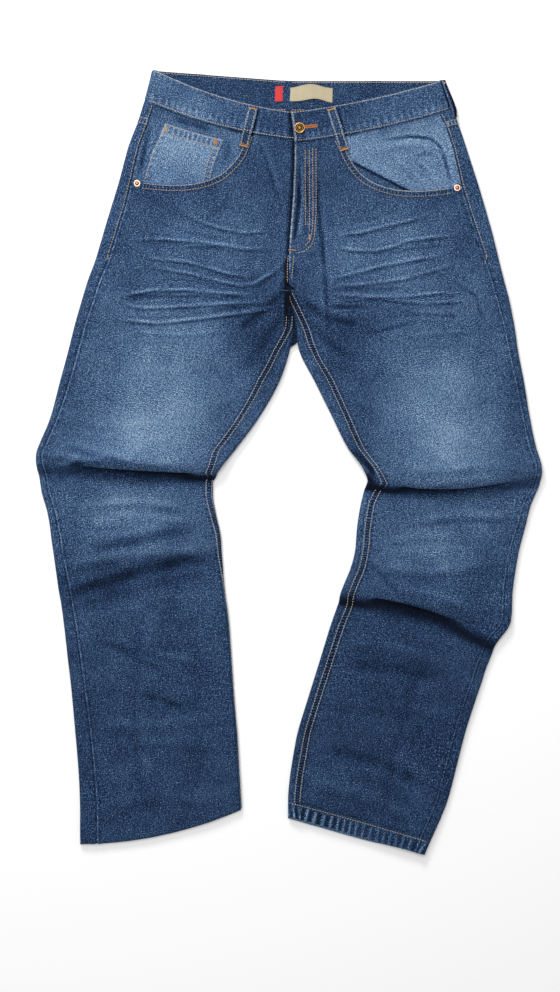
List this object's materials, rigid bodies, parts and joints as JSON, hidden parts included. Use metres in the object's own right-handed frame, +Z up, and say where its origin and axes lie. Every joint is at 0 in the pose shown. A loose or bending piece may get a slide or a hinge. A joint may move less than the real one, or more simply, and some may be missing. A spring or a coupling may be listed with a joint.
{
  "type": "jeans laid flat",
  "caption": "Straight-leg denim jeans laid flat on their back, front up, with scooped pocket mouths, buttoned waistband, belt loops, folded knees and a leg end tucked under.",
  "frame": {"origin": "middle of the outline, on the surface that the jeans lie on", "axes": "+Y towards the waist, +Z up out of the front, +X towards the wearer's left"},
  "size_m": [0.6934, 1.0754, 0.0229],
  "materials": {
    "denim": "washed mid-blue denim twill, worn pale along seams and thighs",
    "light_denim": "paler washed denim twill",
    "brass": "antique, dark in its hollows",
    "copper": "antique copper",
    "cream_tape": "woven satin tape",
    "red_tape": "woven tape"
  },
  "bodies": {
    "root": {"front_right": "denim", "front_left": "denim", "back_right": "denim", "back_left": "denim", "yoke_right": "denim", "yoke_left": "denim", "pocket_facing_right": "light_denim", "pocket_facing_left": "light_denim", "coin_pocket": "light_denim", "waistband": "denim", "belt_loop_front_right": "denim", "belt_loop_front_left": "denim", "belt_loop_side_left": "denim", "button": "brass", "rivet_right": "copper", "rivet_left": "copper", "size_label": "cream_tape", "side_tab": "red_tape", "back_pocket_right": "denim", "back_pocket_left": "denim"}
  },
  "joints": []
}
